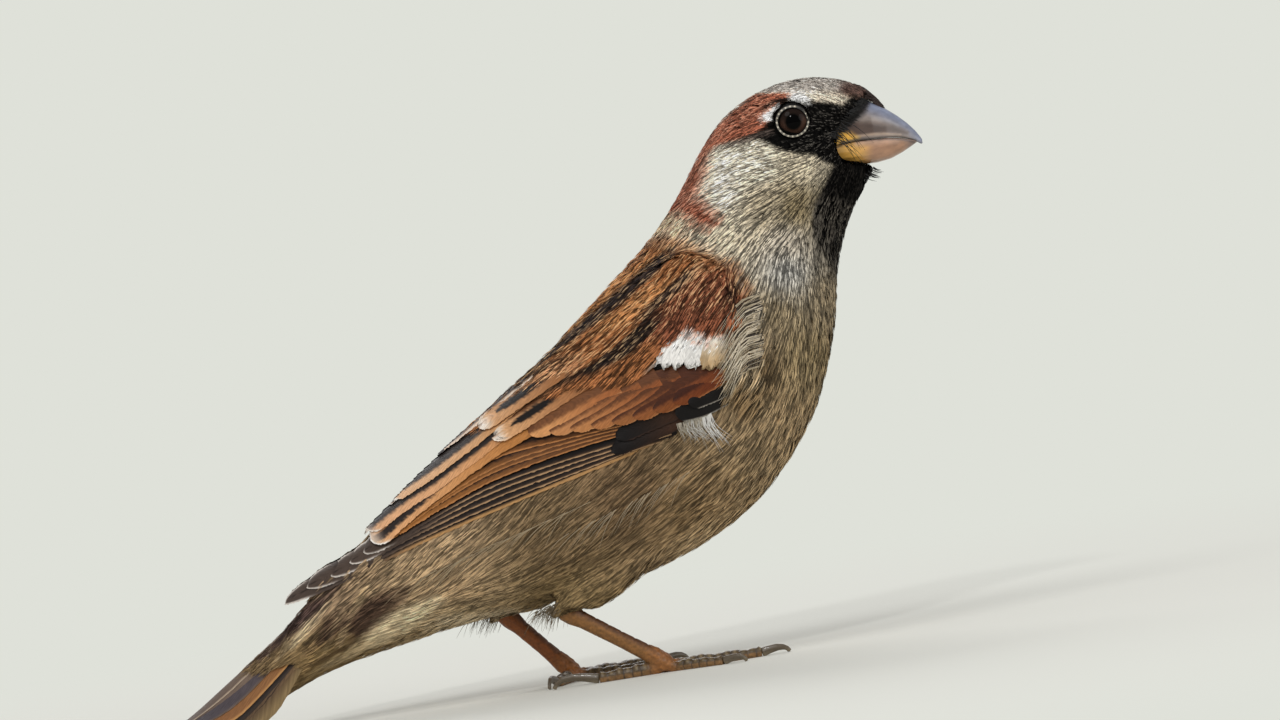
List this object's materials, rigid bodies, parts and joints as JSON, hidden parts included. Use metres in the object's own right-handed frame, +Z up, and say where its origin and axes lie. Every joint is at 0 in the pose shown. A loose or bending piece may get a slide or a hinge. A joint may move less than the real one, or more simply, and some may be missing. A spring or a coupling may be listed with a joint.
{
  "type": "house sparrow",
  "caption": "Male house sparrow, life size, standing on level ground with its head in profile, its wings folded and its tail tip laid down behind it.",
  "frame": {"origin": "bottom centre of the whole bird's box, on the ground", "axes": "+X forwards towards the bill, +Y to the bird's left, +Z up"},
  "size_m": [0.1408, 0.0418, 0.0891],
  "materials": {
    "head_plumage": "dense soft feathers, grey, chestnut, black and off-white",
    "body_plumage": "soft hair-like feathers, grey-buff",
    "rufous_feathers": "firm vaned feathers, rufous with dark centres and buff edges",
    "flight_feathers": "firm vaned feathers, grey-brown with buff edges",
    "black_feathers": "firm vaned feathers, black with a pale edge",
    "bill": "satin horn, yellow at the gape",
    "eye": "wet and clear over a dark brown iris",
    "leg": "scaled skin, pinkish brown",
    "claw": "satin dark horn"
  },
  "bodies": {
    "root": {"head": "head_plumage", "neck": "body_plumage", "breast": "body_plumage", "belly": "body_plumage", "tail_coverts": "body_plumage", "thigh_right": "body_plumage", "thigh_left": "body_plumage", "tail": "flight_feathers", "wing_primaries_right": "flight_feathers", "wing_primaries_left": "flight_feathers", "wing_secondaries_right": "rufous_feathers", "wing_secondaries_left": "rufous_feathers", "wing_coverts_right": "rufous_feathers", "wing_coverts_left": "rufous_feathers", "wing_alula_right": "black_feathers", "wing_alula_left": "black_feathers", "bill_upper": "bill", "bill_lower": "bill", "eye_right": "eye", "eye_left": "eye", "tarsus_right": "leg", "tarsus_left": "leg", "hallux_right": "leg", "hallux_left": "leg", "inner_toe_right": "leg", "inner_toe_left": "leg", "middle_toe_right": "leg", "middle_toe_left": "leg", "outer_toe_right": "leg", "outer_toe_left": "leg", "hallux_claw_right": "claw", "hallux_claw_left": "claw", "inner_toe_claw_right": "claw", "inner_toe_claw_left": "claw", "middle_toe_claw_right": "claw", "middle_toe_claw_left": "claw", "outer_toe_claw_right": "claw", "outer_toe_claw_left": "claw"}
  },
  "joints": []
}
